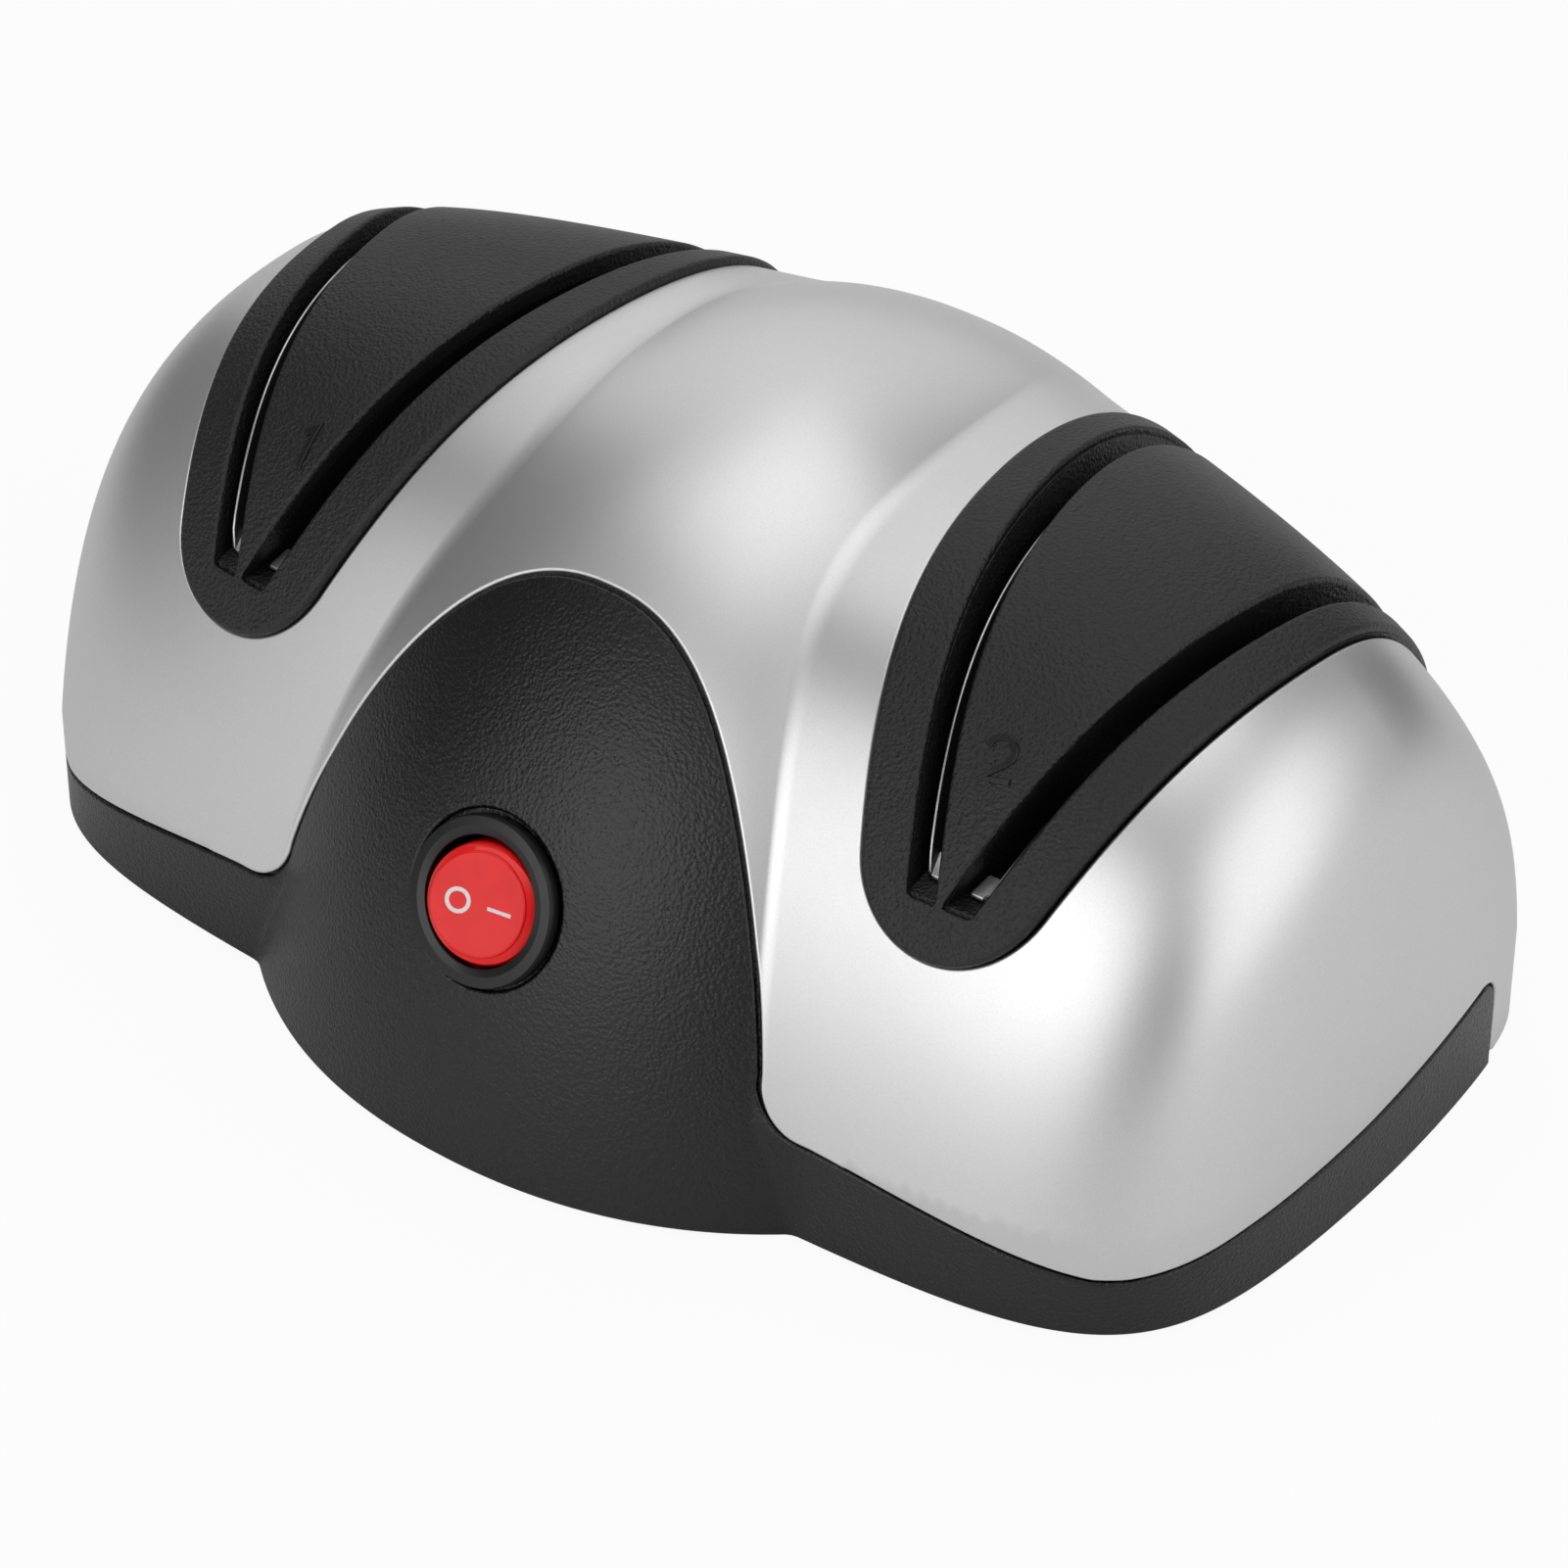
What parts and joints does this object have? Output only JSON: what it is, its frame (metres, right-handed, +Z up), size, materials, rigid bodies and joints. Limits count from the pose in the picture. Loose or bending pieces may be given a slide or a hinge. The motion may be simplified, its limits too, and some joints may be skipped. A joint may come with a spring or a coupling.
{
  "type": "electric knife sharpener",
  "caption": "Countertop electric knife sharpener: domed motor casing between coarse and fine slotted guide modules, with grinding wheels on one motor shaft and a rocker switch in front.",
  "frame": {"origin": "middle of the bounding box's underside, on the table under the sharpener", "axes": "+Z up, +X along the sharpener towards the fine stage, -Y to the front where the switch is"},
  "size_m": [0.2024, 0.1374, 0.0871],
  "materials": {
    "silver_paint": "satin silver paint over moulded plastic",
    "black_shell": "black plastic with a fine grain",
    "module_black": "black plastic, spark textured",
    "switch_black": "polished black plastic",
    "switch_red": "glossy red plastic",
    "steel": "ground steel",
    "zinc": "zinc plated steel",
    "rubber": "black rubber",
    "coarse_grit": "coarse bonded grit",
    "fine_grit": "fine bonded grit",
    "hub_plastic": "natural moulded plastic",
    "ferrite": "sintered ferrite",
    "lamination": "stacked electrical steel",
    "copper": "copper",
    "carbon": "pressed carbon",
    "bronze": "sintered bronze",
    "board_green": "glass-fibre board",
    "capacitor_yellow": "yellow plastic case",
    "resin": "black resin",
    "wire_brown": "insulated wire",
    "wire_blue": "insulated wire"
  },
  "bodies": {
    "casing": {"switch_body": "switch_black", "left_switch_terminal": "steel", "right_switch_terminal": "steel", "upper_housing": "silver_paint", "lower_housing": "black_shell", "cord_gland": "rubber", "front_left_foot": "rubber", "front_left_housing_screw": "zinc", "front_right_foot": "rubber", "front_right_housing_screw": "zinc", "back_left_foot": "rubber", "back_left_housing_screw": "zinc", "back_right_foot": "rubber", "back_right_housing_screw": "zinc", "coarse_guide_module": "module_black", "fine_guide_module": "module_black", "motor_can": "zinc", "upper_field_magnet": "ferrite", "lower_field_magnet": "ferrite", "front_carbon_brush": "carbon", "back_carbon_brush": "carbon", "motor_brush_cap": "zinc", "left_motor_bush": "bronze", "motor_end_cap": "zinc", "right_motor_bush": "bronze", "left_motor_strap": "zinc", "left_strap_screw": "zinc", "left_shaft_bush": "bronze", "right_motor_strap": "zinc", "right_strap_screw": "zinc", "right_shaft_bush": "bronze", "circuit_board": "board_green", "left_board_screw": "zinc", "right_board_screw": "zinc", "suppressor_capacitor": "capacitor_yellow", "bridge_rectifier": "resin", "left_switch_wire": "wire_brown", "right_switch_wire": "wire_brown", "front_motor_wire": "wire_blue", "back_motor_wire": "wire_blue"},
    "rotor": {"motor_shaft": "steel", "coarse_wheel_hub": "hub_plastic", "fine_wheel_hub": "hub_plastic", "armature_core": "lamination", "armature_windings": "copper", "commutator": "copper", "coarse_outer_wheel": "coarse_grit", "coarse_outer_collar": "steel", "coarse_inner_wheel": "coarse_grit", "coarse_inner_collar": "steel", "fine_inner_wheel": "fine_grit", "fine_inner_collar": "steel", "fine_outer_wheel": "fine_grit", "fine_outer_collar": "steel"},
    "rocker": {"switch_rocker": "switch_red"},
    "coarse_outer_guide_spring": {"coarse_outer_guide_spring": "steel"},
    "coarse_inner_guide_spring": {"coarse_inner_guide_spring": "steel"},
    "fine_inner_guide_spring": {"fine_inner_guide_spring": "steel"},
    "fine_outer_guide_spring": {"fine_outer_guide_spring": "steel"}
  },
  "joints": [
    {"name": "rotor_spin", "type": "hinge", "parent": "casing", "child": "rotor", "pos_m": [0, 0.0048, 0.0388], "axis": [1, 0, 0], "continuous": true},
    {"name": "switch_rock", "type": "hinge", "parent": "casing", "child": "rocker", "pos_m": [0, -0.05548, 0.03583], "axis": [0, -0.4226, -0.9063], "range_deg": [0, 24]},
    {"name": "coarse_outer_spring_flex", "type": "hinge", "parent": "casing", "child": "coarse_outer_guide_spring", "pos_m": [-0.06842, 0.0018, 0.0527], "axis": [0.1532, -0.9882, 0], "range_deg": [0, 1.6], "stiffness_Nm_per_rad": 0.4, "springref_deg": -1.72},
    {"name": "coarse_inner_spring_flex", "type": "hinge", "parent": "casing", "child": "coarse_inner_guide_spring", "pos_m": [-0.04877, 0.0018, 0.0527], "axis": [0.1532, 0.9882, 0], "range_deg": [0, 1.6], "stiffness_Nm_per_rad": 0.4, "springref_deg": -1.72},
    {"name": "fine_inner_spring_flex", "type": "hinge", "parent": "casing", "child": "fine_inner_guide_spring", "pos_m": [0.04877, 0.0018, 0.0527], "axis": [0.1532, -0.9882, 0], "range_deg": [0, 1.6], "stiffness_Nm_per_rad": 0.4, "springref_deg": -1.72},
    {"name": "fine_outer_spring_flex", "type": "hinge", "parent": "casing", "child": "fine_outer_guide_spring", "pos_m": [0.06842, 0.0018, 0.0527], "axis": [0.1532, 0.9882, 0], "range_deg": [0, 1.6], "stiffness_Nm_per_rad": 0.4, "springref_deg": -1.72}
  ]
}
